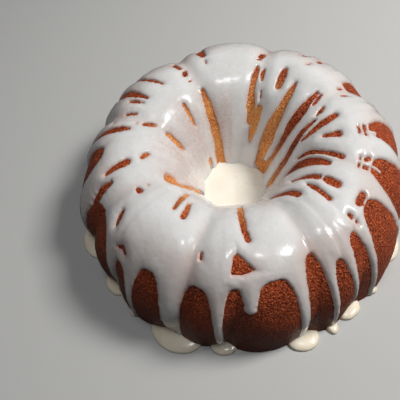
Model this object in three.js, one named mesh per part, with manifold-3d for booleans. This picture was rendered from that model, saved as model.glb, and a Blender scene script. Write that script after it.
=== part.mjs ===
// A fluted ring cake with poured glaze: the baked ring, its coat of glaze with the drips and the
// bare places between them, the glaze pooled in the middle hole, and the puddles round the foot.
//
// Millimetres, +Z up. The origin is on the axis of the ring, on the surface that it stands on,
// and the front of the cake is -Y. Angles are degrees round the axis: 0 at the front, positive
// towards +X. A "run" is the distance along the crest line, which starts at the outer foot, goes
// up over the crown and ends at the foot of the middle hole.
import * as THREE from "three";
import { mergeVertices } from "three/addons/utils/BufferGeometryUtils.js";
import Module from "manifold-3d";

const wasm = await Module();
wasm.setup();

// The crest line: a straight side, a round shoulder up to the crown, a round throat, a cone.
const FOOT_RADIUS = 125;
const SIDE = { height: 16.5, taper: 0.075 };
const CROWN = { radius: 76.3, height: 81.2, roundness: 0.553 };
const HOLE = { footRadius: 17.5, coneHeight: 34.5, cone: 0.36, lipRoundness: 0.56, throatRoundness: 0.543 };
// The foot of the hole lies off the axis by this much, reached between these runs.
const HOLE_SWAY = { x: -3.5, y: 1.4, from: 115, to: 190 };

// The flutes: a wide and a narrow lobe take turns at the foot, with a V groove between them.
// Higher up each narrow lobe merges with the wide one after it, and the groove that is left leans.
const LOBE_PAIRS = 8;
const PAIR_ANGLE = 360 / LOBE_PAIRS;
const FIRST_WIDE_LOBE = -4.3;
const WIDE_LOBE = { halfAngle: 13.6, steps: 6 };
const NARROW_LOBE = { halfAngle: PAIR_ANGLE / 2 - 13.6, steps: 3, crestInset: 1.35 };
const GROOVE = {
  depth: 6.7,
  roundness: 2.3,
  shoulderPlace: 0.6,
  shoulderShare: 0.85,
  crownShare: 0.43,
  holeShare: 0.3,
  lean: 7.3,
  leanRun: 45,
  mergeFrom: 25,
  mergeTo: 85,
};

// The glaze. The crest line is the glazed one, so under a full coat the crust lies below it.
const GAP = 0.3;
const COAT = { thickness: 2.1, footRun: 5.6, holeHeight: 14.6, sunkFrom: 30, sunkTo: 80 };
const POOL_LEVEL = 13;
const PUDDLE_STEPS = 4;
// A puddle's section, as shares of its width and height, and how far it thins at its two ends.
const PUDDLE = { wallGap: 0.9, endWidth: 0.9, endDrop: 0.85, lip: [0.97, 0.45], shoulder: [0.8, 0.9] };

// Rows of the skins along the run.
const SHOULDER_ROWS = 5;
const THROAT_ROWS = 5;

// Bare arches between the drips: left, right and apex angle at the foot, and the run of the top.
const ARCH = { baseRun: 2.5, power: 3, steps: 6, cutDepth: 13 };
const ARCHES = [
  [-104, -91, -100, 87],
  [-85, -61, -77, 72],
  [-59, -51, -57, 59],
  [-48.8, -37.6, -44, 70.5],
  [-32, -19.7, -26, 71],
  [-17.4, -9.6, -13, 74],
  [-7, 7, 0.5, 77],
  [-17.2, 6.8, -8, 56],
  [10.2, 18.2, 15.5, 85.5],
  [20, 26.2, 24, 72.5],
  [28.2, 34.7, 33, 81.5],
  [36.7, 52.6, 45, 86],
  [55.5, 71, 64, 89],
  [75.5, 89, 80, 92],
  [91.8, 97.4, 94.5, 72],
  [101.8, 113.5, 108, 88],
];

// Arches on the far side follow a rule: two on a wide lobe, with a drip between, one on a narrow.
const FAR_SIDE = { firstWide: 130.7, wideLobes: 3, firstNarrow: 153.2, narrowLobes: 3 };
const FAR_ARCH = { grooveDrip: 2.2, lobeDrip: 2.8, top: [60, 80], dripWander: [-2, 2], apexWander: [-1, 1] };
const FAR_PAIRS = { first: 2, last: 5 };
const FAR_PUDDLE = { half: [3.5, 7], reach: [127, 132], height: [3.4, 4.4] };
const SEED = 20317;

// Bare streaks in the coat, each a path of [angle, run, width].
const STREAK = { cutDepth: 6, capAcross: 0.75, capAhead: 0.65 };
const STREAKS = [
  [[-8.5, 146, 3.2], [-9.2, 124, 3.8], [-7.3, 105.5, 3.2]],
  [[-73, 137.5, 7], [-70, 143, 8], [-68, 150, 5.5], [-73, 163, 3.5], [-80, 181, 2.4]],
  [[-48.6, 116, 1.6], [-51.4, 129.5, 3], [-53.2, 139, 1.6]],
  [[-41.4, 115, 3.8], [-44.5, 128, 1.8]],
  [[-88.7, 105, 4.9], [-86.6, 88, 2.4]],
  [[-82, 90.5, 2], [-82.6, 80, 5.8], [-83.2, 64, 6]],
  [[-111.2, 104.5, 2.6], [-110.7, 96, 5.2], [-110, 60, 4.6], [-110, 30, 3]],
  [[-119, 137, 3.2], [-120.8, 156, 3.2]],
  [[-133.5, 105.5, 1.8], [-133, 88, 5.6], [-132.6, 70, 7]],
  [[-175.3, 96, 3.6], [-175, 74, 6.5]],
  [[-167, 128.5, 2.4], [-168.4, 146, 5.4], [-171.5, 174, 5.4], [-170, 193, 5.4]],
  [[153.5, 114, 3.2], [154, 134, 4.2], [151.2, 146.5, 6.5], [148, 158, 6]],
  [[143, 146, 4.5], [143.4, 159, 6.5], [143, 173, 2]],
  [[136.5, 112.5, 4.4], [134.8, 125, 4.6]],
  [[125.5, 118, 3], [123.5, 135, 5.5], [122.6, 151, 8.8], [119.5, 172, 9], [115, 190, 9]],
  [[111.2, 114.5, 3], [109.6, 127, 5.2], [106, 146, 6.4], [101.6, 166, 4.8], [103.5, 188, 5]],
  [[93.8, 128, 2], [91, 141, 4.6], [82, 155, 5.7], [74.5, 170, 5.4], [70.6, 186, 4.6]],
  [[91, 113.5, 4.8], [88.3, 126, 4.6], [85, 139, 2.4]],
  [[78.3, 114, 4.8], [79.2, 123, 2.2]],
  [[63.8, 111.5, 3.6], [67, 124, 3.2], [70.3, 136, 3], [70, 145, 2]],
  [[59.5, 121, 4.2], [62.6, 136, 6.4], [60, 159, 3.6]],
  [[46, 108, 5.4], [46.6, 115, 5]],
  [[47, 122, 3.8], [43, 139, 2]],
  [[36.9, 107, 3.2], [40, 126, 1.8]],
  [[30.2, 127, 4.4], [27, 140, 4.2], [22.5, 149, 2.4]],
  [[43.8, 90, 5], [46.8, 90, 5]],
];

// One bare patch with corners, on the front lobe.
const FRONT_PATCH = [[-14.4, 83.2], [-10, 83.6], [-5.9, 86], [-9.6, 92.4], [-12.2, 97], [-13.6, 94]];

// Puddles on the near side: the first and last angle, the radius reached and the height.
const PUDDLES = [
  [-91, -76, 132.5, 4],
  [-68.5, -58.5, 128, 3.6],
  [-53.2, -48.6, 127.8, 3.4],
  [-43.5, -24.5, 134, 4.4],
  [-22.2, -13.4, 127.5, 4],
  [2.8, 13.8, 131.5, 4.4],
  [16.4, 20.6, 129.5, 3.8],
  [22.4, 31, 128, 4],
  [35.4, 39.6, 127.2, 3.8],
  [48.5, 60, 128.4, 4.2],
];

const rad = THREE.MathUtils.degToRad;

// The crest line in a plane through the axis, as (radius, height).
function makeCrestLine() {
  const sideTop = new THREE.Vector2(FOOT_RADIUS - SIDE.height * SIDE.taper, SIDE.height);
  const rise = CROWN.height - SIDE.height;
  const crown = new THREE.Vector2(CROWN.radius, CROWN.height);
  const coneTop = new THREE.Vector2(HOLE.footRadius + HOLE.coneHeight * HOLE.cone, HOLE.coneHeight);
  const drop = (CROWN.height - HOLE.coneHeight) * HOLE.throatRoundness;
  const line = new THREE.CurvePath();
  line.add(new THREE.LineCurve(new THREE.Vector2(FOOT_RADIUS, 0), sideTop));
  line.add(
    new THREE.CubicBezierCurve(
      sideTop,
      new THREE.Vector2(
        sideTop.x - SIDE.taper * rise * CROWN.roundness,
        SIDE.height + rise * CROWN.roundness,
      ),
      new THREE.Vector2(crown.x + (sideTop.x - crown.x) * CROWN.roundness, crown.y),
      crown,
    ),
  );
  line.add(
    new THREE.CubicBezierCurve(
      crown,
      new THREE.Vector2(crown.x - (crown.x - coneTop.x) * HOLE.lipRoundness, crown.y),
      new THREE.Vector2(coneTop.x + HOLE.cone * drop, coneTop.y + drop),
      coneTop,
    ),
  );
  line.add(new THREE.LineCurve(coneTop, new THREE.Vector2(HOLE.footRadius, 0)));
  return line;
}

const crestLine = makeCrestLine();
const [SIDE_RUN, CROWN_RUN, CONE_RUN, END_RUN] = crestLine.getCurveLengths();
const CONE_SLANT = Math.hypot(1, HOLE.cone);

// How far the grooves have leaned round the axis at a run, in degrees.
function lean(run) {
  return GROOVE.lean * (1 - Math.exp(-run / GROOVE.leanRun));
}

// How deep the flutes lie under the crest line at their full depth: GROOVE.depth in a groove.
function fluteInset(angle, run) {
  const groove = FIRST_WIDE_LOBE + WIDE_LOBE.halfAngle + lean(run);
  const turn = THREE.MathUtils.euclideanModulo(angle - groove, PAIR_ANGLE);
  const narrowWidth = 2 * NARROW_LOBE.halfAngle;
  const lobe = (middle, half) => (Math.abs(turn - middle) / half) ** GROOVE.roundness;
  const narrow = THREE.MathUtils.lerp(
    NARROW_LOBE.crestInset,
    GROOVE.depth,
    lobe(NARROW_LOBE.halfAngle, NARROW_LOBE.halfAngle),
  );
  const wide = GROOVE.depth * lobe(PAIR_ANGLE - WIDE_LOBE.halfAngle, WIDE_LOBE.halfAngle);
  const merged = GROOVE.depth * lobe(PAIR_ANGLE / 2, PAIR_ANGLE / 2);
  const share = THREE.MathUtils.smoothstep(run, GROOVE.mergeFrom, GROOVE.mergeTo);
  return THREE.MathUtils.lerp(turn < narrowWidth ? narrow : wide, merged, share);
}

// The share of the flute's depth that is left at a run.
function fluteShare(run) {
  const shoulder = CROWN_RUN * GROOVE.shoulderPlace;
  if (run < shoulder) return THREE.MathUtils.mapLinear(run, 0, shoulder, 1, GROOVE.shoulderShare);
  if (run < CROWN_RUN) {
    return THREE.MathUtils.mapLinear(run, shoulder, CROWN_RUN, GROOVE.shoulderShare, GROOVE.crownShare);
  }
  return THREE.MathUtils.mapLinear(run, CROWN_RUN, END_RUN, GROOVE.crownShare, GROOVE.holeShare);
}

// The point of the crust at an angle and a run, lifted off it along the normal of the crest line.
function crustPoint(angle, run, lift) {
  const share = THREE.MathUtils.clamp(run / END_RUN, 0, 1);
  const at = crestLine.getPoint(share);
  const along = crestLine.getTangent(share);
  const sunk = COAT.thickness * THREE.MathUtils.smoothstep(run, COAT.sunkFrom, COAT.sunkTo);
  const out = lift - sunk - fluteInset(angle, run) * fluteShare(run);
  const radius = at.x + along.y * out;
  const height = Math.max(0, at.y - along.x * out);
  const sway = THREE.MathUtils.smoothstep(run, HOLE_SWAY.from, HOLE_SWAY.to);
  const across = radius * Math.sin(rad(angle)) + HOLE_SWAY.x * sway;
  return new THREE.Vector3(across, HOLE_SWAY.y * sway - radius * Math.cos(rad(angle)), height);
}

// The angles of the columns at the foot, with one in every groove.
function columnAngles() {
  const angles = [];
  for (let pair = 0; pair < LOBE_PAIRS; pair += 1) {
    const wide = FIRST_WIDE_LOBE + pair * PAIR_ANGLE;
    const narrow = wide + PAIR_ANGLE / 2;
    for (const [centre, lobe] of [[wide, WIDE_LOBE], [narrow, NARROW_LOBE]]) {
      for (let step = 0; step < lobe.steps; step += 1) {
        angles.push(centre + lobe.halfAngle * ((2 * step) / lobe.steps - 1));
      }
    }
  }
  return angles;
}

// The runs of the rows between the lower edge of the coat outside and its end in the hole.
function coatRuns() {
  const runs = [COAT.footRun, SIDE_RUN];
  for (let row = 1; row <= SHOULDER_ROWS; row += 1) {
    runs.push(THREE.MathUtils.lerp(SIDE_RUN, CROWN_RUN, row / SHOULDER_ROWS));
  }
  for (let row = 1; row <= THROAT_ROWS; row += 1) {
    runs.push(THREE.MathUtils.lerp(CROWN_RUN, CONE_RUN, row / THROAT_ROWS));
  }
  runs.push(END_RUN - COAT.holeHeight * CONE_SLANT);
  return runs;
}

function meshOf(points, faces) {
  const geometry = new THREE.BufferGeometry().setFromPoints(points);
  geometry.setIndex(faces);
  return geometry;
}

// Two triangles over the corners a, b, c, d, anticlockwise from outside.
function addQuad(faces, a, b, c, d) {
  faces.push(a, b, c, a, c, d);
}

// A point of the column that starts at an angle at the foot and leans with the grooves.
function columnPoint(angle, run, lift) {
  return crustPoint(angle + lean(run), run, lift);
}

// A closed skin round the whole ring: rows of { run, lift } that close on themselves. Its outer
// and inner sides split along the same diagonals, so that they keep their distance.
function ringSkin(rows) {
  const angles = columnAngles();
  const points = angles.flatMap((angle) => rows.map(({ run, lift }) => columnPoint(angle, run, lift)));
  const faces = [];
  for (let column = 0; column < angles.length; column += 1) {
    const here = column * rows.length;
    const next = ((column + 1) % angles.length) * rows.length;
    for (let row = 0; row < rows.length; row += 1) {
      const above = (row + 1) % rows.length;
      const corners = [here + row, next + row, next + above, here + above];
      if (rows[above].run < rows[row].run) corners.push(corners.shift());
      addQuad(faces, ...corners);
    }
  }
  return meshOf(points, faces);
}

// A prism through the coat over an outline of [angle, run], anticlockwise from outside.
function crustPrism(outline, cut) {
  const flat = outline.map(([angle, run]) => new THREE.Vector2(angle, run));
  const cap = THREE.ShapeUtils.triangulateShape(flat, []);
  const count = outline.length;
  const points = [-cut, cut].flatMap((lift) => outline.map(([angle, run]) => crustPoint(angle, run, lift)));
  const faces = cap.flatMap(([a, b, c]) => [c, b, a, count + a, count + b, count + c]);
  for (let side = 0; side < count; side += 1) {
    const next = (side + 1) % count;
    addQuad(faces, side, next, count + next, count + side);
  }
  return meshOf(points, faces);
}

function archOutline([left, right, apex, top]) {
  const outline = [];
  for (let step = 0; step <= ARCH.steps; step += 1) {
    const turn = (Math.PI * step) / ARCH.steps;
    const across = Math.abs(Math.cos(turn)) ** (2 / ARCH.power);
    const up = Math.sin(turn) ** (2 / ARCH.power);
    const reach = turn < Math.PI / 2 ? right - apex : left - apex;
    outline.push([apex + reach * across, ARCH.baseRun + (top - ARCH.baseRun) * up]);
  }
  return outline;
}

// The outline of a path of [angle, run, width], with round ends.
function streakOutline(path) {
  const degree = (run) => rad(crestLine.getPoint(run / END_RUN).x);
  const left = [];
  const right = [];
  path.forEach(([angle, run, width], knot) => {
    const before = path[Math.max(knot - 1, 0)];
    const after = path[Math.min(knot + 1, path.length - 1)];
    const along = new THREE.Vector2((after[0] - before[0]) * degree(run), after[1] - before[1]).normalize();
    const place = (side, ahead) => {
      const across = (along.x * ahead + along.y * side) * (width / 2);
      return [angle + across / degree(run), run + (along.y * ahead - along.x * side) * (width / 2)];
    };
    if (knot === 0) left.push(place(0, -1), place(-STREAK.capAcross, -STREAK.capAhead));
    left.push(place(-1, 0));
    right.unshift(place(1, 0));
    if (knot === path.length - 1) {
      left.push(place(-STREAK.capAcross, STREAK.capAhead), place(0, 1));
      right.unshift(place(STREAK.capAcross, STREAK.capAhead));
    }
    if (knot === 0) right.push(place(STREAK.capAcross, -STREAK.capAhead));
  });
  return [...left, ...right].reverse();
}

function toSolid(geometry) {
  const bare = geometry.clone();
  bare.deleteAttribute("normal");
  bare.deleteAttribute("uv");
  const merged = mergeVertices(bare);
  return new wasm.Manifold(
    new wasm.Mesh({
      numProp: 3,
      vertProperties: merged.attributes.position.array,
      triVerts: new Uint32Array(merged.index.array),
    }),
  );
}

function toGeometry(solid) {
  const { vertProperties, triVerts } = solid.getMesh();
  const geometry = new THREE.BufferGeometry();
  geometry.setAttribute("position", new THREE.BufferAttribute(vertProperties, 3));
  geometry.setIndex(new THREE.BufferAttribute(triVerts, 1));
  return geometry;
}

// A repeatable draw between two values.
function makeDraw(seed) {
  const MODULUS = 2147483647;
  const FACTOR = 16807;
  let state = seed;
  return (low, high) => {
    state = (state * FACTOR) % MODULUS;
    return low + ((high - low) * state) / MODULUS;
  };
}

const draw = makeDraw(SEED);

function farArches() {
  const arches = [];
  for (let lobe = 0; lobe < FAR_SIDE.wideLobes; lobe += 1) {
    const centre = FAR_SIDE.firstWide + lobe * PAIR_ANGLE;
    const reach = WIDE_LOBE.halfAngle - FAR_ARCH.grooveDrip;
    const drip = centre + draw(...FAR_ARCH.dripWander);
    for (const side of [-1, 1]) {
      const inner = drip + (side * FAR_ARCH.lobeDrip) / 2;
      const outer = centre + side * reach;
      const [left, right] = [Math.min(inner, outer), Math.max(inner, outer)];
      arches.push([left, right, (left + right) / 2, draw(...FAR_ARCH.top)]);
    }
  }
  for (let lobe = 0; lobe < FAR_SIDE.narrowLobes; lobe += 1) {
    const centre = FAR_SIDE.firstNarrow + lobe * PAIR_ANGLE;
    const reach = NARROW_LOBE.halfAngle - FAR_ARCH.grooveDrip;
    const apex = centre + draw(...FAR_ARCH.apexWander);
    arches.push([centre - reach, centre + reach, apex, draw(...FAR_ARCH.top)]);
  }
  return arches;
}

function farPuddles() {
  const puddles = [];
  for (let pair = FAR_PAIRS.first; pair <= FAR_PAIRS.last; pair += 1) {
    for (const side of [-1, 1]) {
      const groove = FIRST_WIDE_LOBE + pair * PAIR_ANGLE + side * WIDE_LOBE.halfAngle;
      const half = draw(...FAR_PUDDLE.half);
      puddles.push([groove - half, groove + half, draw(...FAR_PUDDLE.reach), draw(...FAR_PUDDLE.height)]);
    }
  }
  return puddles;
}

function makeCake() {
  const runs = [0, ...coatRuns(), END_RUN];
  return ringSkin(runs.map((run) => ({ run, lift: 0 })));
}

function makeCoat() {
  const runs = coatRuns();
  const outer = runs.map((run) => ({ run, lift: GAP + COAT.thickness }));
  const inner = runs.map((run) => ({ run, lift: GAP })).reverse();
  let coat = toSolid(ringSkin([...outer, ...inner]));
  for (const arch of [...ARCHES, ...farArches()]) {
    coat = coat.subtract(toSolid(crustPrism(archOutline(arch), ARCH.cutDepth)));
  }
  for (const outline of [...STREAKS.map(streakOutline), FRONT_PATCH]) {
    coat = coat.subtract(toSolid(crustPrism(outline, STREAK.cutDepth)));
  }
  const largest = coat.decompose().reduce((a, b) => (b.volume() > a.volume() ? b : a));
  return toGeometry(largest);
}

// The pool: flat underneath and on top, its side a gap away from the wall of the hole.
function makePool() {
  const angles = columnAngles();
  const levelRun = END_RUN - POOL_LEVEL * CONE_SLANT;
  const low = angles.map((angle) => columnPoint(angle, END_RUN, GAP).setZ(0));
  const high = angles.map((angle) => columnPoint(angle, levelRun, GAP).setZ(POOL_LEVEL));
  const points = [...low, ...high, new THREE.Vector3(0, 0, 0), new THREE.Vector3(0, 0, POOL_LEVEL)];
  const count = angles.length;
  const faces = [];
  for (let column = 0; column < count; column += 1) {
    const next = (column + 1) % count;
    addQuad(faces, column, next, count + next, count + column);
    faces.push(2 * count, next, column);
    faces.push(2 * count + 1, count + column, count + next);
  }
  return meshOf(points, faces);
}

// A puddle: five edges swept along the foot, from the wall over a rounded top down to the floor.
function makePuddle([first, last, reach, height]) {
  const section = [[0, 0], [1, 0], PUDDLE.lip, PUDDLE.shoulder, [0, 1]];
  const points = [];
  for (let step = 0; step <= PUDDLE_STEPS; step += 1) {
    const share = (2 * step) / PUDDLE_STEPS - 1;
    const angle = THREE.MathUtils.lerp(first, last, step / PUDDLE_STEPS);
    const swell = Math.sqrt(Math.max(0, 1 - share * share));
    const wall = FOOT_RADIUS - fluteInset(angle, 0) + PUDDLE.wallGap;
    const edge = Math.max(wall + PUDDLE.endWidth, FOOT_RADIUS + (reach - FOOT_RADIUS) * swell);
    const top = height * (1 - PUDDLE.endDrop * (1 - swell));
    for (const [across, up] of section) {
      const radius = THREE.MathUtils.lerp(wall, edge, across);
      points.push(new THREE.Vector3(radius * Math.sin(rad(angle)), -radius * Math.cos(rad(angle)), top * up));
    }
  }
  const faces = [];
  for (let step = 0; step < PUDDLE_STEPS; step += 1) {
    const here = step * section.length;
    const next = here + section.length;
    for (let edge = 0; edge < section.length; edge += 1) {
      const after = (edge + 1) % section.length;
      addQuad(faces, here + edge, next + edge, next + after, here + after);
    }
  }
  const end = PUDDLE_STEPS * section.length;
  for (let corner = 1; corner < section.length - 1; corner += 1) {
    faces.push(0, corner, corner + 1);
    faces.push(end, end + corner + 1, end + corner);
  }
  return meshOf(points, faces);
}

const crustFinish = () => new THREE.MeshStandardMaterial({ color: 0x8a3c1c, roughness: 0.85, metalness: 0 });
const glazeFinish = () => new THREE.MeshStandardMaterial({ color: 0xdcd8cf, roughness: 0.22, metalness: 0 });
const creamFinish = () => new THREE.MeshStandardMaterial({ color: 0xece4cd, roughness: 0.3, metalness: 0 });

function addPiece(group, name, geometry, material) {
  const mesh = new THREE.Mesh(geometry, material);
  mesh.name = name;
  geometry.computeVertexNormals();
  group.add(mesh);
}

const ringCake = new THREE.Group();
ringCake.name = "fluted_ring_cake";
addPiece(ringCake, "cake", makeCake(), crustFinish());
addPiece(ringCake, "glaze_coat", makeCoat(), glazeFinish());
addPiece(ringCake, "glaze_pool", makePool(), creamFinish());
[...PUDDLES, ...farPuddles()].forEach((puddle, index) => {
  const number = String(index + 1).padStart(2, "0");
  addPiece(ringCake, `glaze_puddle_${number}`, makePuddle(puddle), glazeFinish());
});

export default ringCake;
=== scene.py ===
"""The looks of a glazed fluted ring cake: crust, poured glaze, the pool in its hole and the puddles.

Sizes are millimetres and turn into metres as a mesh is written. The axis of the ring is Z, the cake
stands on Z = 0, and its front is -Y. An angle is in degrees round the axis, 0 at the front and
positive towards +X. A run is the distance along the crest line, which starts at the outer foot, goes
up over the crown and ends at the foot of the hole.
"""

import logging
import math
from dataclasses import dataclass
from enum import Enum
from functools import cached_property
from typing import ClassVar

import bmesh
import bpy
import numpy as np
from mathutils import Matrix, Vector, noise


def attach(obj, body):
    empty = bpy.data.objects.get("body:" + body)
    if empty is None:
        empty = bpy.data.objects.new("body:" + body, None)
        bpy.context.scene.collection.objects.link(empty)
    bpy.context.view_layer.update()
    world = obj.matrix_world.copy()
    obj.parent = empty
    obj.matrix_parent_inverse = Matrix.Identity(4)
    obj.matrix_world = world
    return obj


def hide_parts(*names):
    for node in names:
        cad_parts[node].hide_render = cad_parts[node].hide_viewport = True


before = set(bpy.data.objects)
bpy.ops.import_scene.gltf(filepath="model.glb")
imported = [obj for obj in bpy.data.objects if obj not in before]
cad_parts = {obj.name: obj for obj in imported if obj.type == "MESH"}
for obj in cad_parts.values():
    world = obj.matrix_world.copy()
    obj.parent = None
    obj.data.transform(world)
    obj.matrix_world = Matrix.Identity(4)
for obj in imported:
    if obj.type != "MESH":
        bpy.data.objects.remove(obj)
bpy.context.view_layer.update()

LOG = logging.getLogger("ring_cake")
MM = 0.001
BODY = "root"
FAR_AWAY = 1000.0
TINY = 1e-6

Array = np.ndarray
Pair = tuple[float, float]
Colour = tuple[float, float, float]
Mesh = bmesh.types.BMesh
Material = bpy.types.Material
Node = bpy.types.Node
Socket = bpy.types.NodeSocket
Tree = bpy.types.NodeTree


class Slot(Enum):
    """The record's material slots."""

    CRUST = "crust"
    GLAZE = "glaze"
    POOLED_GLAZE = "pooled_glaze"


def smoothstep(value: Array, low: float, high: float) -> Array:
    """Ease from 0 at low to 1 at high.

    Args:
        value: The values to ease.
        low: The value that gives 0.
        high: The value that gives 1.

    Returns:
        The eased shares.
    """
    share = np.clip((value - low) / (high - low), 0.0, 1.0)
    return share * share * (3.0 - 2.0 * share)


def wrap(angle: Array) -> Array:
    """Return angles brought between -180 and 180 degrees."""
    return (angle + 180.0) % 360.0 - 180.0


@dataclass(frozen=True)
class Ripple:
    """Smooth noise in space. Its place in the noise keeps it apart from other ripples."""

    size: float
    height: float
    place: float = 0.0

    def at(self, points: Array) -> Array:
        """Read the noise.

        Args:
            points: Places in millimetres, one row each.

        Returns:
            One value for each point, between about -height and height.
        """
        shift = Vector((self.place, self.place, self.place))
        values = [noise.noise(Vector(point) / self.size + shift) for point in points]
        return self.height * np.array(values)


@dataclass(frozen=True)
class Band:
    """A stretch of runs. Its share eases in from start to full and out from fade to end."""

    start: float
    full: float
    fade: float
    end: float

    def share(self, run: Array) -> Array:
        """Return the share at each run."""
        return smoothstep(run, self.start, self.full) * (1.0 - smoothstep(run, self.fade, self.end))


@dataclass(frozen=True)
class Side:
    """One side of the ring. Its share is 1 up to near degrees from its middle and 0 past far."""

    middle: float
    near: float
    far: float

    def share(self, angle: Array) -> Array:
        """Return the share at each angle."""
        return 1.0 - smoothstep(np.abs(wrap(angle - self.middle)), self.near, self.far)


@dataclass(frozen=True)
class CrestLine:
    """The line over a lobe's crest: a straight side, a round shoulder, a round throat and a cone."""

    foot_radius: float = 125.0
    side_height: float = 16.5
    side_taper: float = 0.075
    crown_radius: float = 76.3
    crown_height: float = 81.2
    crown_roundness: float = 0.553
    hole_foot_radius: float = 17.5
    cone_height: float = 34.5
    cone: float = 0.36
    lip_roundness: float = 0.56
    throat_roundness: float = 0.543
    samples: int = 200

    def _bezier(self, *corners: Pair) -> Array:
        """Draw a cubic curve.

        Args:
            *corners: Its four corners.

        Returns:
            Points along it.
        """
        share = np.linspace(0.0, 1.0, self.samples)[:, None]
        a, b, c, d = (np.array(corner) for corner in corners)
        back = 1.0 - share
        return back**3 * a + 3 * back**2 * share * b + 3 * back * share**2 * c + share**3 * d

    @cached_property
    def points(self) -> Array:
        """The line as rows of radius and height."""
        side_top = (self.foot_radius - self.side_taper * self.side_height, self.side_height)
        crown = (self.crown_radius, self.crown_height)
        cone_top = (self.hole_foot_radius + self.cone * self.cone_height, self.cone_height)
        rise = (self.crown_height - self.side_height) * self.crown_roundness
        over_side = (side_top[0] - self.side_taper * rise, side_top[1] + rise)
        before_crown = (crown[0] + (side_top[0] - crown[0]) * self.crown_roundness, crown[1])
        drop = (self.crown_height - self.cone_height) * self.throat_roundness
        after_crown = (crown[0] - (crown[0] - cone_top[0]) * self.lip_roundness, crown[1])
        over_cone = (cone_top[0] + self.cone * drop, cone_top[1] + drop)
        shoulder = self._bezier(side_top, over_side, before_crown, crown)
        throat = self._bezier(crown, after_crown, over_cone, cone_top)
        return np.vstack([(self.foot_radius, 0.0), shoulder, throat[1:], (self.hole_foot_radius, 0.0)])

    @cached_property
    def runs(self) -> Array:
        """The run at each point of the line."""
        steps = np.hypot(*np.diff(self.points, axis=0).T)
        return np.concatenate([[0.0], np.cumsum(steps)])

    @cached_property
    def directions(self) -> Array:
        """The unit direction of the line at each of its points."""
        steps = np.gradient(self.points, self.runs, axis=0)
        return steps / np.hypot(*steps.T)[:, None]

    @property
    def end(self) -> float:
        """The run at the foot of the hole."""
        return float(self.runs[-1])

    @cached_property
    def crown_run(self) -> float:
        """The run at the top of the crown."""
        return float(self.runs[self.points[:, 1].argmax()])

    def at(self, run: Array) -> tuple[Array, Array, Array, Array]:
        """Look up the line.

        Args:
            run: The runs to look up.

        Returns:
            Radius, height, and the two parts of the direction along the line.
        """
        columns = [*self.points.T, *self.directions.T]
        return tuple(np.interp(run, self.runs, column) for column in columns)


@dataclass(frozen=True)
class Flutes:
    """Wide and narrow lobes in turn at the foot, with a V groove between them.

    Higher up each narrow lobe merges with the wide one after it, and the groove that is left leans.
    """

    pairs: int = 8
    first_wide: float = -4.3
    wide_half: float = 13.6
    narrow_inset: float = 1.35
    depth: float = 6.7
    roundness: float = 2.3
    shoulder_place: float = 0.6
    shoulder_share: float = 0.85
    crown_share: float = 0.43
    hole_share: float = 0.3
    lean: float = 7.3
    lean_run: float = 45.0
    merge_from: float = 25.0
    merge_to: float = 85.0

    @property
    def pair_angle(self) -> float:
        """The angle that one wide and one narrow lobe take."""
        return 360.0 / self.pairs

    def _turn(self, angle: Array, run: Array) -> Array:
        """Return how many degrees each angle is past the leaning groove before it."""
        groove = self.first_wide + self.wide_half + self.lean * (1.0 - np.exp(-run / self.lean_run))
        return (angle - groove) % self.pair_angle

    def off_groove(self, angle: Array, run: Array) -> Array:
        """Return how many degrees each angle is from the nearest leaning groove."""
        turn = self._turn(angle, run)
        return np.minimum(turn, self.pair_angle - turn)

    def _lobe(self, turn: Array, middle: float, half: float) -> Array:
        """Return the fall from a lobe's crest: 0 at its middle and 1 half its width away."""
        return (np.abs(turn - middle) / half) ** self.roundness

    def inset(self, angle: Array, run: Array) -> Array:
        """Work out how deep the flutes lie under the crest line at their full depth.

        Args:
            angle: Degrees round the axis.
            run: The run of each point.

        Returns:
            Depths in millimetres.
        """
        turn = self._turn(angle, run)
        narrow_half = self.pair_angle / 2 - self.wide_half
        fall = self._lobe(turn, narrow_half, narrow_half)
        narrow = self.narrow_inset + (self.depth - self.narrow_inset) * fall
        wide = self.depth * self._lobe(turn, self.pair_angle - self.wide_half, self.wide_half)
        apart = np.where(turn < 2 * narrow_half, narrow, wide)
        merged = self.depth * self._lobe(turn, self.pair_angle / 2, self.pair_angle / 2)
        return apart + (merged - apart) * smoothstep(run, self.merge_from, self.merge_to)

    def share(self, run: Array, line: CrestLine) -> Array:
        """Work out the share of the flutes' depth that is left.

        Args:
            run: The run of each point.
            line: The crest line.

        Returns:
            Shares between 0 and 1.
        """
        places = [0.0, line.crown_run * self.shoulder_place, line.crown_run, line.end]
        shares = [1.0, self.shoulder_share, self.crown_share, self.hole_share]
        return np.interp(run, places, shares)


@dataclass(frozen=True)
class RingForm:
    """The baked ring's outside: the crest line, sunk where the glaze lies, its flutes and its hole.

    The foot of the hole lies off the axis.
    """

    line: CrestLine = CrestLine()
    flutes: Flutes = Flutes()
    sunk: float = 2.1
    sunk_from: float = 30.0
    sunk_to: float = 80.0
    hole_sway: Pair = (-3.5, 1.4)
    sway_from: float = 115.0
    sway_to: float = 190.0

    def at(self, angle: Array, run: Array, lift: Array | float = 0.0) -> Array:
        """Find points on the crust or over it.

        Args:
            angle: Degrees round the axis.
            run: The run of each point.
            lift: The distance outside the crust, along the crest line's normal.

        Returns:
            One row of X, Y and Z in millimetres for each point.
        """
        radius, height, along_r, along_z = self.line.at(run)
        sunk = self.sunk * smoothstep(run, self.sunk_from, self.sunk_to)
        out = lift - sunk - self.flutes.inset(angle, run) * self.flutes.share(run, self.line)
        radius = radius + along_z * out
        height = np.maximum(height - along_r * out, 0.0)
        turn = np.radians(angle)
        sway = smoothstep(run, self.sway_from, self.sway_to)
        across = radius * np.sin(turn) + self.hole_sway[0] * sway
        along = -radius * np.cos(turn) + self.hole_sway[1] * sway
        return np.column_stack([across, along, height])

    def per_degree(self, run: Array) -> Array:
        """Return how many millimetres one degree takes along the ring at each run."""
        return np.radians(1.0) * self.line.at(run)[0]


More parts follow.
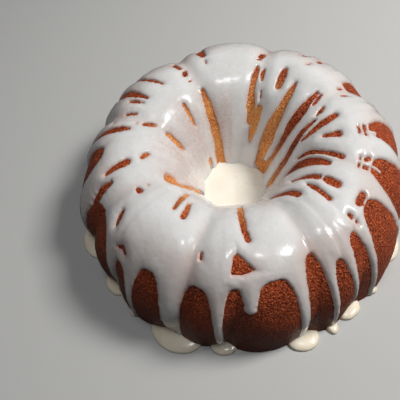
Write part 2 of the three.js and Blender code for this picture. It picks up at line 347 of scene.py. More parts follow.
@dataclass(frozen=True)
class Arch:
    """A bare arch that stands on the floor, between two drips."""

    left: float
    right: float
    apex: float
    top: float
    base: float = 2.5
    power: float = 3.0

    def clearance(self, angle: Array, run: Array, scale: Array) -> Array:
        """Measure how far points are outside the arch.

        Args:
            angle: Degrees round the axis.
            run: The run of each point.
            scale: Millimetres a degree at each point.

        Returns:
            Distances in millimetres, negative inside the arch.
        """
        side = wrap(angle - self.apex)
        half = np.where(side < 0.0, self.apex - self.left, self.right - self.apex) * scale
        tall = self.top - self.base
        across = np.abs(side) * scale / half
        up = np.maximum(run - self.base, 0.0) / tall
        reach = np.maximum((across**self.power + up**self.power) ** (1.0 / self.power), TINY)
        steep_across = (across / reach) ** (self.power - 1.0) / half
        steep_up = (up / reach) ** (self.power - 1.0) / tall
        return (reach - 1.0) / np.maximum(np.hypot(steep_across, steep_up), TINY)


@dataclass(frozen=True)
class Streak:
    """A long patch along a path of angle, run and width, with round ends."""

    path: tuple[tuple[float, float, float], ...]

    def clearance(self, angle: Array, run: Array, scale: Array) -> Array:
        """Measure how far points are outside the patch.

        Args:
            angle: Degrees round the axis.
            run: The run of each point.
            scale: Millimetres a degree at each point.

        Returns:
            Distances in millimetres, negative inside the patch.
        """
        nearest = np.full(angle.shape, FAR_AWAY)
        for (angle_a, run_a, width_a), (angle_b, run_b, width_b) in zip(self.path, self.path[1:]):
            across = wrap(angle - angle_a) * scale
            up = run - run_a
            long_across = wrap(angle_b - angle_a) * scale
            long_up = run_b - run_a
            length = long_across**2 + long_up**2
            share = np.clip((across * long_across + up * long_up) / length, 0.0, 1.0)
            gap = np.hypot(across - share * long_across, up - share * long_up)
            nearest = np.minimum(nearest, gap - (width_a + (width_b - width_a) * share) / 2)
        return nearest


@dataclass(frozen=True)
class CornerPatch:
    """A patch with corners of angle and run, in order round it, none pointing inwards."""

    corners: tuple[Pair, ...]

    def clearance(self, angle: Array, run: Array, scale: Array) -> Array:
        """Measure how far points are outside the patch.

        Args:
            angle: Degrees round the axis.
            run: The run of each point.
            scale: Millimetres a degree at each point.

        Returns:
            Distances in millimetres, negative inside the patch.
        """
        furthest = np.full(angle.shape, -FAR_AWAY)
        following = [*self.corners[1:], self.corners[0]]
        for (angle_a, run_a), (angle_b, run_b) in zip(self.corners, following):
            long_across = (angle_b - angle_a) * scale
            long_up = run_b - run_a
            length = np.hypot(long_across, long_up)
            across = wrap(angle - angle_a) * scale
            up = run - run_a
            furthest = np.maximum(furthest, (across * long_up - up * long_across) / length)
        return furthest


class Draw:
    """A repeatable draw of numbers between two values."""

    MODULUS = 2147483647
    FACTOR = 16807

    def __init__(self, seed: int) -> None:
        """Start the draw from a seed."""
        self.state = seed

    def __call__(self, low: float, high: float) -> float:
        """Return the next value between low and high."""
        self.state = self.state * self.FACTOR % self.MODULUS
        return low + (high - low) * self.state / self.MODULUS


NEAR_ARCHES = (
    Arch(-104, -91, -100, 87),
    Arch(-83.2, -61, -76.5, 73),
    Arch(-59, -51, -57, 59),
    Arch(-48.8, -37.6, -44, 70.5),
    Arch(-32, -19.7, -26, 71),
    Arch(-17.4, -9.6, -13, 74),
    Arch(-7, 7, 0.5, 77, power=4.0),
    Arch(-17.2, 6.8, -8, 62),
    Arch(10.2, 18.2, 15.5, 85.5),
    Arch(20, 26.2, 24, 72.5),
    Arch(28.2, 34.7, 33, 81.5),
    Arch(36.7, 52.6, 45, 86),
    Arch(55.5, 71, 64, 89),
    Arch(75.5, 89, 80, 92),
    Arch(91.8, 97.4, 94.5, 72),
    Arch(101.8, 113.5, 108, 88),
)

# Bare streaks and spots, from the front round to the left, over the back and down the right.
BARE_PATHS = (
    ((-8.2, 146, 3.2), (-9.2, 125, 3.8), (-8.5, 112, 3.4), (-7.2, 105, 3.2)),
    ((-26.5, 94.5, 1.4), (-26.2, 91, 1.6)),
    ((-41.3, 114.5, 3.6), (-42.2, 119.5, 3.4), (-44.5, 128, 1.8)),
    ((-48.6, 116, 1.6), (-50.8, 126.5, 2.8), (-52.5, 135, 2.4), (-53.2, 139, 1.6)),
    ((-58.2, 69.5, 2.4), (-56.6, 72.2, 3.2), (-54.8, 69.6, 2.2)),
    ((-66.2, 90, 1.8), (-65.5, 86, 3.2), (-64.2, 79, 1.8)),
    ((-74, 136, 9), (-70, 142.5, 10), (-67, 149, 7), (-73, 163, 3.5), (-80, 182, 3), (-88, 196, 2)),
    ((-71.8, 107, 3), (-70, 107.6, 4)),
    ((-71.6, 115.2, 1), (-71.2, 114.8, 1)),
    ((-81.7, 91, 2), (-81.7, 82, 5.4), (-81, 72, 5.4), (-79.6, 60, 4)),
    ((-88.9, 106, 4.8), (-88, 99, 4.6), (-86.6, 88, 2)),
    ((-93.6, 121.5, 2.4), (-92.3, 119, 3.2), (-90.8, 117, 2.8)),
    ((-111.2, 104.5, 2.6), (-110.8, 98, 5.2), (-110.3, 86, 5), (-110, 60, 4.5), (-110, 30, 3)),
    ((-115.3, 87.5, 1), (-114.8, 87, 1)),
    ((-116.3, 108.8, 0.9), (-115.6, 108.5, 0.9)),
    ((-116.8, 115, 3.2), (-118, 119, 3), (-119.2, 123, 1.8)),
    ((-119, 136, 1.8), (-119, 143.5, 2.8), (-120.2, 150, 2.6), (-120.8, 157, 1.4)),
    ((-122, 105, 1.4), (-121.3, 100, 2), (-120.6, 95.5, 1.4)),
    ((-129.5, 105.5, 1.2), (-129, 99, 2.2), (-128.4, 93, 1.6)),
    ((-133.5, 105.5, 1.8), (-133.2, 97, 4.2), (-133, 86, 5.8), (-132.6, 70, 7)),
    ((-146.3, 105.5, 1.4), (-144.6, 97, 2), (-143.4, 88, 2), (-142.8, 74, 2.2)),
    ((-147.2, 130.5, 2.2), (-147, 136.5, 2), (-147.2, 149, 1.2)),
    ((-150.5, 187, 1.8), (-147, 199, 2.2)),
    ((-160.8, 100, 2.2), (-160.3, 95, 3), (-160, 89.5, 2.4)),
    ((-161.7, 106, 4), (-161, 108.3, 4.2)),
    ((-162, 116, 1.6), (-161, 116.2, 1.6)),
    ((-167, 127.5, 2), (-167.2, 135, 4), (-168.8, 151, 5.4), (-171.5, 174, 5.4), (-170, 201, 6)),
    ((-175.3, 96.5, 3.4), (-175, 89, 5.5), (-175, 74, 6.5)),
    ((-175.3, 106, 1), (-174.8, 103.5, 1.6)),
    ((153.5, 113.5, 3), (154, 122, 3.8), (154, 134, 4.2), (151.2, 146.5, 6), (148, 158, 6)),
    ((152.7, 97, 3.6), (153.2, 101.5, 4)),
    ((152.6, 104.8, 1), (154.8, 105, 1)),
    ((149, 114.5, 1.8), (149.3, 119, 2.6), (148.4, 123.5, 1.4)),
    ((144.5, 138, 0.9), (146.2, 132.5, 1)),
    ((143, 145, 4.5), (143.2, 154, 6.5), (143.5, 164.5, 5.5), (143, 174, 1.6)),
    ((136.5, 111, 4), (135.6, 118, 5), (134.8, 125, 4.2)),
    ((134, 86, 2.5), (134.3, 76, 5)),
    ((128, 95, 1.8), (128.6, 97, 1.4)),
    ((126, 87, 2.4), (126.5, 76, 4)),
    ((125.5, 117.5, 2.4), (124.3, 127, 4.4), (122.7, 143, 6.8), (122.5, 153, 9), (119.5, 172, 9)),
    ((119.5, 172, 9), (115, 190, 9), (109, 198, 8)),
    ((111.2, 113, 2.2), (110, 122, 4.4), (107.8, 135.5, 6.8), (105.5, 148, 6), (102, 160, 5)),
    ((102, 160, 5), (101, 170, 4.6), (102, 178, 4.4), (103.5, 189, 5.5), (110, 195, 6)),
    ((108.8, 111.5, 1.2), (107.6, 116, 1.8), (106.4, 121, 1.4)),
    ((107.3, 91.5, 1), (107.6, 95.5, 1.4)),
    ((102.2, 94, 2.4), (102.9, 98.5, 2)),
    ((100, 116.5, 1.8), (98.5, 120, 2.4), (97.2, 123.5, 1)),
    ((94, 126.5, 1.4), (93.4, 133, 3), (91, 141, 4.6), (86, 149.5, 5.7), (79, 159, 5.7)),
    ((79, 159, 5.7), (74.5, 170, 5.4), (70.8, 181, 5), (70.5, 190.5, 3)),
    ((91, 112.5, 4.2), (89.8, 119, 5), (87.3, 129.5, 4), (84.8, 140.5, 1.6)),
    ((78.3, 114, 5.2), (78.8, 118.5, 3.6), (79.3, 124, 1.6)),
    ((77.7, 99.5, 1.6), (81.8, 99.5, 1.6)),
    ((77.5, 95, 2.6), (82, 95, 2.8)),
    ((63.8, 111.5, 3.6), (67, 124, 3), (70.2, 134, 3), (70.8, 141, 2.6), (70, 146, 1.4)),
    ((59.3, 120, 3.6), (61, 127, 5.4), (62.6, 135, 6.4), (63.2, 146, 5.4), (60, 159, 3.8), (53, 165, 2.4)),
    ((60.3, 98.8, 1.2), (65.3, 98.8, 1.2)),
    ((61.2, 91.5, 2.8), (61.2, 95, 2.6)),
    ((65.8, 92, 3), (64.6, 95, 2.4)),
    ((61, 85, 3), (60.8, 87.5, 2.4)),
    ((47, 121.5, 3.6), (46.8, 127, 3.8), (45.5, 133, 3.2), (42.2, 141, 1.8)),
    ((46, 108, 5.4), (46.2, 113, 5.6), (47, 117, 3.6)),
    ((43.5, 90, 5.2), (47, 90, 5.2)),
    ((36.8, 106.5, 2.8), (38, 114, 3.2), (39.3, 121.5, 2.6), (39.8, 126, 1.2)),
    ((36.5, 88.5, 2.8), (36.5, 90.5, 2.8)),
    ((36.3, 82.5, 1.6), (36.8, 84.5, 2)),
    ((30.3, 125.5, 4.2), (30, 133, 4.8), (27, 140, 4.2), (23.5, 147, 3), (21.5, 151, 1.6)),
)

FRONT_PATCH = CornerPatch(
    ((-14.4, 83.2), (-10, 83.6), (-5.9, 86), (-9.6, 92.4), (-12.2, 97), (-13.6, 94))
)

# Glaze that runs over bare crust: a finger on the front lobe, threads and the tongue between streaks.
GLAZE_PATHS = (
    ((-8.3, 70, 8.4), (-8.3, 62, 8.2), (-8.4, 59, 8)),
    ((110.5, 168, 3.6), (110, 182.5, 3.2)),
    ((63.2, 100, 1.6), (63, 80, 1.6)),
    ((58, 90, 1.7), (69, 90, 1.5)),
    ((58, 97, 1.7), (69, 97, 1.7)),
    ((75, 93.2, 1.4), (85, 93.2, 1.4)),
    ((75, 97.2, 1.4), (85, 97.2, 1.4)),
    ((78.6, 93, 4), (78.8, 88, 3.4)),
)


@dataclass(frozen=True)
class FarSide:
    """The rule for the arches and puddles behind: two arches on a wide lobe, one on a narrow."""

    seed: int = 20317
    first_wide: float = 130.7
    first_narrow: float = 153.2
    lobes: int = 3
    groove_drip: float = 2.2
    lobe_drip: float = 2.8
    top: Pair = (60.0, 80.0)
    drip_wander: Pair = (-2.0, 2.0)
    apex_wander: Pair = (-1.0, 1.0)
    first_pair: int = 2
    last_pair: int = 5
    puddle_half: Pair = (3.5, 7.0)
    puddle_reach: Pair = (127.0, 132.0)
    puddle_height: Pair = (3.4, 4.4)

    def _arches(self, flutes: Flutes, draw: Draw) -> list[Arch]:
        """Make the far arches.

        Args:
            flutes: The lobes that they stand on.
            draw: The draw for their uneven places and tops.

        Returns:
            The arches.
        """
        arches = []
        wide_reach = flutes.wide_half - self.groove_drip
        for lobe in range(self.lobes):
            centre = self.first_wide + lobe * flutes.pair_angle
            drip = centre + draw(*self.drip_wander)
            for side in (-1, 1):
                ends = sorted((drip + side * self.lobe_drip / 2, centre + side * wide_reach))
                arches.append(Arch(*ends, sum(ends) / 2, draw(*self.top)))
        narrow_reach = flutes.pair_angle / 2 - flutes.wide_half - self.groove_drip
        for lobe in range(self.lobes):
            centre = self.first_narrow + lobe * flutes.pair_angle
            apex = centre + draw(*self.apex_wander)
            arches.append(Arch(centre - narrow_reach, centre + narrow_reach, apex, draw(*self.top)))
        return arches

    def make(self, flutes: Flutes) -> tuple[list[Arch], list["Puddle"]]:
        """Make the far side's arches and puddles.

        Args:
            flutes: The lobes and grooves that they follow.

        Returns:
            The arches and the puddles.
        """
        draw = Draw(self.seed)
        arches = self._arches(flutes, draw)
        puddles = []
        for pair in range(self.first_pair, self.last_pair + 1):
            for side in (-1, 1):
                groove = flutes.first_wide + pair * flutes.pair_angle + side * flutes.wide_half
                half = draw(*self.puddle_half)
                size = (draw(*self.puddle_reach), draw(*self.puddle_height))
                puddles.append(Puddle(groove - half, groove + half, *size))
        return arches, puddles


@dataclass(frozen=True)
class GlazeMap:
    """Where the crust is glazed and where it is bare."""

    arches: tuple[Arch, ...]
    streaks: tuple[Streak, ...] = tuple(Streak(path) for path in BARE_PATHS)
    patches: tuple[CornerPatch, ...] = (FRONT_PATCH,)
    fingers: tuple[Streak, ...] = tuple(Streak(path) for path in GLAZE_PATHS)

    def edge(self, form: RingForm, angle: Array, run: Array) -> Array:
        """Measure how far inside the glaze points are.

        Args:
            form: The ring that the glaze lies on.
            angle: Degrees round the axis.
            run: The run of each point.

        Returns:
            Distances to the glaze's edge in millimetres, negative on bare crust.
        """
        scale = form.per_degree(run)
        inside = np.full(angle.shape, FAR_AWAY)
        for bare in (*self.arches, *self.streaks, *self.patches):
            inside = np.minimum(inside, bare.clearance(angle, run, scale))
        for finger in self.fingers:
            inside = np.maximum(inside, -finger.clearance(angle, run, scale))
        return inside


def feed(tree: Tree, node: Node, inputs: dict[str | int, object]) -> None:
    """Link a node's inputs to sockets, or set them.

    Args:
        tree: The node tree.
        node: The node.
        inputs: The socket or the value for each input, by name or number.
    """
    for key, value in inputs.items():
        if isinstance(value, Socket):
            tree.links.new(value, node.inputs[key])
        else:
            node.inputs[key].default_value = value


def add_node(tree: Tree, kind: str, inputs: dict[str | int, object], **settings: object) -> Node:
    """Add a node to a tree.

    Args:
        tree: The node tree.
        kind: The node's type name, without ShaderNode at its start.
        inputs: The socket or the value for each input, by name or number.
        **settings: The node's own properties.

    Returns:
        The new node.
    """
    node = tree.nodes.new(f"ShaderNode{kind}")
    for name, value in settings.items():
        setattr(node, name, value)
    feed(tree, node, inputs)
    return node


def object_place(tree: Tree) -> Socket:
    """Return a socket with the place on the object."""
    return add_node(tree, "TexCoord", {}).outputs["Object"]


def mask(tree: Tree, name: str) -> Socket:
    """Return a socket with a mask that the mesh holds."""
    return add_node(tree, "Attribute", {}, attribute_name=name).outputs["Fac"]


def mix_colours(tree: Tree, share: Socket, first: Colour | Socket, second: Colour | Socket) -> Socket:
    """Mix two colours.

    Args:
        tree: The node tree.
        share: The socket that says how much of the second colour shows.
        first: A colour, or the socket that gives it.
        second: A colour, or the socket that gives it.

    Returns:
        The socket with the mixed colour.
    """
    first, second = (part if isinstance(part, Socket) else (*part, 1.0) for part in (first, second))
    return add_node(tree, "Mix", {0: share, 6: first, 7: second}, data_type="RGBA").outputs[2]


def new_material(name: str) -> tuple[Material, Node]:
    """Make a material with one Principled shader.

    Args:
        name: The material's name.

    Returns:
        The material and its shader node.
    """
    material = bpy.data.materials.new(name)
    material.use_nodes = True
    return material, material.node_tree.nodes["Principled BSDF"]


@dataclass(frozen=True)
class Mottle:
    """A soft mottled value between low and high, from a node group that the materials share.

    The scale is bumps a metre, and the detail is how many finer layers the noise has.
    """

    scale: float
    detail: float
    low: float = 0.0
    high: float = 1.0
    group_name: ClassVar[str] = "mottle"
    cloud_range: ClassVar[Pair] = (0.3, 0.7)

    def _group(self) -> Tree:
        """Find the node group, or build it the first time.

        Returns:
            The group.
        """
        if self.group_name in bpy.data.node_groups:
            return bpy.data.node_groups[self.group_name]
        tree = bpy.data.node_groups.new(self.group_name, "ShaderNodeTree")
        for name in ("Scale", "Detail", "Low", "High"):
            tree.interface.new_socket(name, in_out="INPUT", socket_type="NodeSocketFloat")
        tree.interface.new_socket("Value", in_out="OUTPUT", socket_type="NodeSocketFloat")
        entry = tree.nodes.new("NodeGroupInput").outputs
        looks = {"Vector": object_place(tree), "Scale": entry["Scale"], "Detail": entry["Detail"]}
        cloud = add_node(tree, "TexNoise", looks).outputs["Fac"]
        ends = dict(zip(("From Min", "From Max"), self.cloud_range))
        spread = {"Value": cloud, "To Min": entry["Low"], "To Max": entry["High"], **ends}
        value = add_node(tree, "MapRange", spread).outputs["Result"]
        feed(tree, tree.nodes.new("NodeGroupOutput"), {"Value": value})
        return tree

    def place(self, tree: Tree) -> Socket:
        """Put the group in a material.

        Args:
            tree: The material's node tree.

        Returns:
            The socket with the value.
        """
        looks = {"Scale": self.scale, "Detail": self.detail, "Low": self.low, "High": self.high}
        return add_node(tree, "Group", looks, node_tree=self._group()).outputs[0]


@dataclass(frozen=True)
class CrustFinish:
    """Browned crust: red-brown outside, golden towards the hole, with a fine crumb."""

    dark: Colour = (0.105, 0.0105, 0.003)
    brown: Colour = (0.27, 0.0345, 0.0082)
    brown_speck: Colour = (0.80, 0.19, 0.07)
    golden: Colour = (0.60, 0.138, 0.019)
    golden_light: Colour = (0.97, 0.345, 0.066)
    golden_speck: Colour = (1.0, 0.62, 0.28)
    # Mixed in by the toast mask: partly toasted crust, partly painted shade towards the foot.
    toast_and_shade_colour: Colour = (0.055, 0.010, 0.004)
    shine: float = 0.14
    mottle: Mottle = Mottle(80.0, 4.0)
    grain: Mottle = Mottle(860.0, 3.0)
    roughness: Mottle = Mottle(860.0, 2.0, 0.3, 0.5)
    speck_sharpness: float = 2.2
    pore_scale: float = 700.0
    pore_smoothness: float = 0.6
    bump_strength: float = 0.8
    bump_height: float = 0.0008

    def _colour(self, tree: Tree, grain: Socket) -> Socket:
        """Build the crust's colour.

        Args:
            tree: The material's node tree.
            grain: The socket with the fine grain.

        Returns:
            The socket with the colour.
        """
        inner = mask(tree, "golden")
        mottle = self.mottle.place(tree)
        outside = mix_colours(tree, mottle, self.dark, self.brown)
        inside = mix_colours(tree, mottle, self.golden, self.golden_light)
        baked = mix_colours(tree, inner, outside, inside)
        speck = mix_colours(tree, inner, self.brown_speck, self.golden_speck)
        sharp = add_node(tree, "Math", {0: grain, 1: self.speck_sharpness}, operation="POWER")
        crumb = mix_colours(tree, sharp.outputs[0], baked, speck)
        # Darker towards the foot: partly real toasting, partly painted shade, and least where the key
        # light falls, which is painted light.
        return mix_colours(tree, mask(tree, "toast_and_shade"), crumb, self.toast_and_shade_colour)

    def build(self) -> Material:
        """Build the material.

        Returns:
            The material.
        """
        material, shader = new_material("browned_crust")
        tree = material.node_tree
        grain = self.grain.place(tree)
        place = object_place(tree)
        looks = {"Vector": place, "Scale": self.pore_scale, "Smoothness": self.pore_smoothness}
        pores = add_node(tree, "TexVoronoi", looks, feature="SMOOTH_F1").outputs["Distance"]
        relief = add_node(tree, "Math", {0: pores, 1: grain}, operation="ADD").outputs[0]
        rise = {"Strength": self.bump_strength, "Distance": self.bump_height, "Height": relief}
        looks = {
            "Base Color": self._colour(tree, grain),
            "Roughness": self.roughness.place(tree),
            "Normal": add_node(tree, "Bump", rise).outputs["Normal"],
            "Specular IOR Level": self.shine,
        }
        feed(tree, shader, looks)
        return material


@dataclass(frozen=True)
class GlazeFinish:
    """Sugar glaze, a little see-through where it is thin."""

    name: str
    body: Colour
    shade: Colour
    thin: Colour = (0.56, 0.33, 0.26)
    mottle: Mottle = Mottle(60.0, 2.0)
    waves: Mottle = Mottle(260.0, 2.0)
    roughness: Mottle = Mottle(60.0, 3.0, 0.2, 0.34)
    ior: float = 1.45
    sheen_weight: float = 0.6
    sheen_roughness: float = 0.18
    bump_strength: float = 0.35
    bump_height: float = 0.00025
    wrinkle_scale: float = 380.0
    wrinkle_detail: float = 3.0
    wrinkle_flatness: float = 2.0
    wrinkle_range: Pair = (0.35, 0.65)
    wrinkle_share: Pair = (0.35, 1.25)
    wrinkle_height: float = 2.0
    depth_weight: float = 0.12
    depth_scale: float = 0.002
    depth_radius: Colour = (1.0, 0.7, 0.5)

    def _crust_shown(self, tree: Tree) -> Socket:
        """Build the share of the crust that shows: even where thin, wrinkled on the wall of the hole.

        Args:
            tree: The material's node tree.

        Returns:
            The socket with the share.
        """
        flat = {"Vector": object_place(tree), "Scale": (1.0, 1.0, self.wrinkle_flatness)}
        place = add_node(tree, "Mapping", flat).outputs["Vector"]
        looks = {"Vector": place, "Scale": self.wrinkle_scale, "Detail": self.wrinkle_detail}
        cloud = add_node(tree, "TexNoise", looks).outputs["Fac"]
        ends = (*self.wrinkle_range, *self.wrinkle_share)
        spread = dict(zip(("From Min", "From Max", "To Min", "To Max"), ends))
        wrinkles = add_node(tree, "MapRange", {"Value": cloud, **spread}).outputs["Result"]
        parts = {0: wrinkles, 1: mask(tree, "wall"), 2: mask(tree, "thin")}
        return add_node(tree, "Math", parts, operation="MULTIPLY_ADD", use_clamp=True).outputs[0]

    def build(self) -> Material:
        """Build the material.

        Returns:
            The material.
        """
        material, shader = new_material(self.name)
        tree = material.node_tree
        shown = self._crust_shown(tree)
        milky = mix_colours(tree, self.mottle.place(tree), self.shade, self.body)
        parts = {0: shown, 1: -self.wrinkle_height, 2: self.waves.place(tree)}
        relief = add_node(tree, "Math", parts, operation="MULTIPLY_ADD").outputs[0]
        rise = {"Strength": self.bump_strength, "Distance": self.bump_height, "Height": relief}
        looks = {
            "Base Color": mix_colours(tree, shown, milky, self.thin),
            "Roughness": self.roughness.place(tree),
            "Normal": add_node(tree, "Bump", rise).outputs["Normal"],
            "Subsurface Weight": self.depth_weight,
            "Subsurface Scale": self.depth_scale,
            "Subsurface Radius": self.depth_radius,
            "IOR": self.ior,
            "Coat Weight": self.sheen_weight,
            "Coat Roughness": self.sheen_roughness,
        }
        feed(tree, shader, looks)
        return material


@dataclass(frozen=True)
class FloorFinish:
    """A pale matt floor that throws little light back at the cake."""

    seen: Colour = (0.52, 0.52, 0.51)
    thrown: Colour = (0.17, 0.17, 0.165)
    roughness: float = 0.9

    def build(self) -> Material:
        """Build the material.

        Returns:
            The material.
        """
        material, shader = new_material("pale_floor")
        tree = material.node_tree
        to_camera = add_node(tree, "LightPath", {}).outputs["Is Camera Ray"]
        colour = mix_colours(tree, to_camera, self.thrown, self.seen)
        feed(tree, shader, {"Base Color": colour, "Roughness": self.roughness})
        return material


class Sheet:
    """A grid of columns and rows that is bent into a closed piece. Its seams weld within WELD metres."""

    WELD = 1e-6

    def __init__(self, columns: int, rows: int) -> None:
        """Make the flat grid.

        Args:
            columns: How many faces it has once round the axis.
            rows: How many faces it has the other way.
        """
        self.mesh = bmesh.new()
        bmesh.ops.create_grid(self.mesh, x_segments=columns, y_segments=rows, size=0.5)
        flat = np.array([vert.co.to_tuple() for vert in self.mesh.verts])
        column = np.rint((flat[:, 0] + 0.5) * columns).astype(int)
        self.angle = 360.0 * (column % columns) / columns - 180.0
        self.row = np.rint((flat[:, 1] + 0.5) * rows).astype(int)

    def bend(self, points: Array, masks: dict[str, Array]) -> Mesh:
        """Move the grid's points to their places and close its seams.

        Args:
            points: The places in millimetres, one row for each grid point.
            masks: Named values for the material, one for each grid point.

        Returns:
            The closed mesh in metres.
        """
        layers = [(self.mesh.verts.layers.float.new(name), values) for name, values in masks.items()]
        for index, vert in enumerate(self.mesh.verts):
            vert.co = points[index] * MM
            for layer, values in layers:
                vert[layer] = values[index]
        bmesh.ops.remove_doubles(self.mesh, verts=self.mesh.verts[:], dist=self.WELD)
        bmesh.ops.dissolve_degenerate(self.mesh, edges=self.mesh.edges[:], dist=self.WELD)
        return self.mesh


@dataclass(frozen=True)
class Piece:
    """A finished piece that stands for CAD nodes.

    Its faces are smooth but for the edges of its base, which lie under base_height and turn sharply.
    """

    name: str
    material: Material
    slot: Slot
    nodes: tuple[str, ...]
    sharp_turn: float = 75.0
    base_height: float = 0.05

    def add(self, mesh: Mesh) -> None:
        """Turn a mesh into the piece.

        Args:
            mesh: The closed mesh, in metres. It is freed.
        """
        bmesh.ops.recalc_face_normals(mesh, faces=mesh.faces[:])
        # A flat piece can come out of that inside out.
        if mesh.calc_volume(signed=True) < 0.0:
            bmesh.ops.reverse_faces(mesh, faces=mesh.faces[:])
        for face in mesh.faces:
            face.smooth = True
        for edge in mesh.edges:
            sharp = edge.is_manifold and edge.calc_face_angle(0.0) > math.radians(self.sharp_turn)
            if sharp and all(vert.co.z < self.base_height * MM for vert in edge.verts):
                edge.smooth = False
        data = bpy.data.meshes.new(self.name)
        mesh.to_mesh(data)
        mesh.free()
        data.materials.append(self.material)
        piece = bpy.data.objects.new(self.name, data)
        bpy.context.scene.collection.objects.link(piece)
        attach(piece, BODY)
        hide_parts(*self.nodes)
        LOG.info("%s: %d faces, stands for %s", self.name, len(data.polygons), ", ".join(self.nodes))


@dataclass(frozen=True)
class BakedRing:
    """The baked cake: a fluted ring with a flat base, browned outside and golden in the hole.

    The golden crust starts later on the side whose inner wall faces away from the key light, as
    painted shade. The foot is darker, partly real toasting and partly painted shade, and least so on
    the side that faces the key light, as painted light.
    """

    columns: int = 480
    rows: int = 204
    knobs: Ripple = Ripple(5.0, 0.22)
    crumb: Ripple = Ripple(2.2, 0.14, 7.0)
    golden_from: float = 108.0
    golden_to: float = 150.0
    # Painted shade: the golden crust starts later on the inner wall that faces away from the key light.
    golden_late_in_shade: float = 42.0
    shaded_wall_side: Side = Side(66.0, 36.0, 58.0)
    # The toast fields darken the foot: partly real toasting, partly painted shade, least on the side that
    # faces the key light, which is painted light.
    toast_and_shade: float = 0.7
    toast_on_lit_side: float = 0.02
    key_lit_side: Side = Side(88.0, 28.0, 80.0)
    toast_from: float = 6.0
    toast_to: float = 86.0

    def build(self, form: RingForm) -> Mesh:
        """Build the mesh.

        Args:
            form: The shape of the ring.

        Returns:
            The closed mesh.
        """
        sheet = Sheet(self.columns, self.rows)
        on_base = sheet.row == self.rows
        run = np.where(on_base, 0.0, form.line.end * sheet.row / (self.rows - 1))
        smooth = form.at(sheet.angle, run)
        points = form.at(sheet.angle, run, self.knobs.at(smooth) + self.crumb.at(smooth))
        ends = on_base | (sheet.row == 0) | (sheet.row == self.rows - 1)
        points[ends, 2] = 0.0
        # Painted shade: hold the golden crust back on the inner wall that faces away from the key light.
        late = self.golden_late_in_shade * self.shaded_wall_side.share(sheet.angle)
        golden = smoothstep(run - late, self.golden_from, self.golden_to)
        # Painted shade towards the foot, partly real toasting, and least on the side that faces the key
        # light, which is painted light there.
        most = self.toast_and_shade + (self.toast_on_lit_side - self.toast_and_shade) * self.key_lit_side.share(sheet.angle)
        toast_and_shade = most * (1.0 - smoothstep(run, self.toast_from, self.toast_to))
        return sheet.bend(points, {"golden": golden, "toast_and_shade": toast_and_shade})


@dataclass(frozen=True)
class ThinPlaces:
    """Where the glaze is so thin that the crust shines through it.

    The tint on the outer side and in the grooves is partly painted shade.
    """

    wall_first: float = 165.0
    wall_last: float = -62.0
    wall_edge: float = 8.0
    wall_band: Band = Band(114.0, 140.0, 184.0, 202.0)
    wall_share: float = 0.28
    flow: Ripple = Ripple(5.0, 0.34, 17.0)
    flow_radius: float = 45.0
    flow_stretch: float = 7.0
    # The outer tint is partly thin glaze and partly painted shade.
    front_thin_and_shade_share: float = 0.30
    front_band: Band = Band(40.0, 60.0, 86.0, 104.0)
    patch_share: float = 0.6
    patches: Ripple = Ripple(26.0, 1.0, 23.0)
    # The groove tint is partly thin glaze and partly painted shade in the crease.
    groove_thin_and_shade_share: float = 0.2
    groove_width: float = 4.0
    groove_band: Band = Band(40.0, 58.0, 100.0, 134.0)
    edge_share: float = 0.5
    edge_width: float = 1.0

    def even(self, form: RingForm, angle: Array, run: Array, inside: Array) -> Array:
        """Say how much of the crust shines evenly through: at the edges, in front and in grooves.

        The share in front and in the grooves is partly painted shade.

        Args:
            form: The ring under the glaze.
            angle: Degrees round the axis.
            run: The run of each point.
            inside: How far inside the glaze's edge each point is.

        Returns:
            Shares between 0 and 1.
        """
        patchy = np.clip(self.patch_share + self.patches.at(form.at(angle, run)), 0.0, 1.0)
        # Partly painted shade: the patchy tint on the outer side stands for thin glaze and for shade on
        # the front.
        front = self.front_thin_and_shade_share * patchy * self.front_band.share(run)
        off = form.flutes.off_groove(angle, run) * form.per_degree(run) / self.groove_width
        # Partly painted shade: the tint along the grooves stands for thin glaze and for the shade in the
        # crease.
        groove = self.groove_thin_and_shade_share * np.exp(-(off**2)) * self.groove_band.share(run)
        edge = self.edge_share * np.exp(-np.maximum(inside, 0.0) / self.edge_width)
        return np.clip(front + groove + edge, 0.0, 1.0)

    def wall(self, angle: Array, run: Array) -> Array:
        """Say how much of the crust shines through the glaze that ran down the wall of the hole.

        Args:
            angle: Degrees round the axis.
            run: The run of each point.

        Returns:
            Shares between 0 and 1.
        """
        width = (self.wall_last - self.wall_first) % 360.0
        along = (angle - self.wall_first) % 360.0
        window = smoothstep(along, 0.0, self.wall_edge)
        window = window * (1.0 - smoothstep(along, width - self.wall_edge, width))
        turn = np.radians(angle)
        across = (self.flow_radius * np.sin(turn), self.flow_radius * np.cos(turn))
        flow = self.flow.at(np.column_stack([*across, run / self.flow_stretch]))
        return np.clip(self.wall_share + flow, 0.0, 1.0) * window * self.wall_band.share(run)


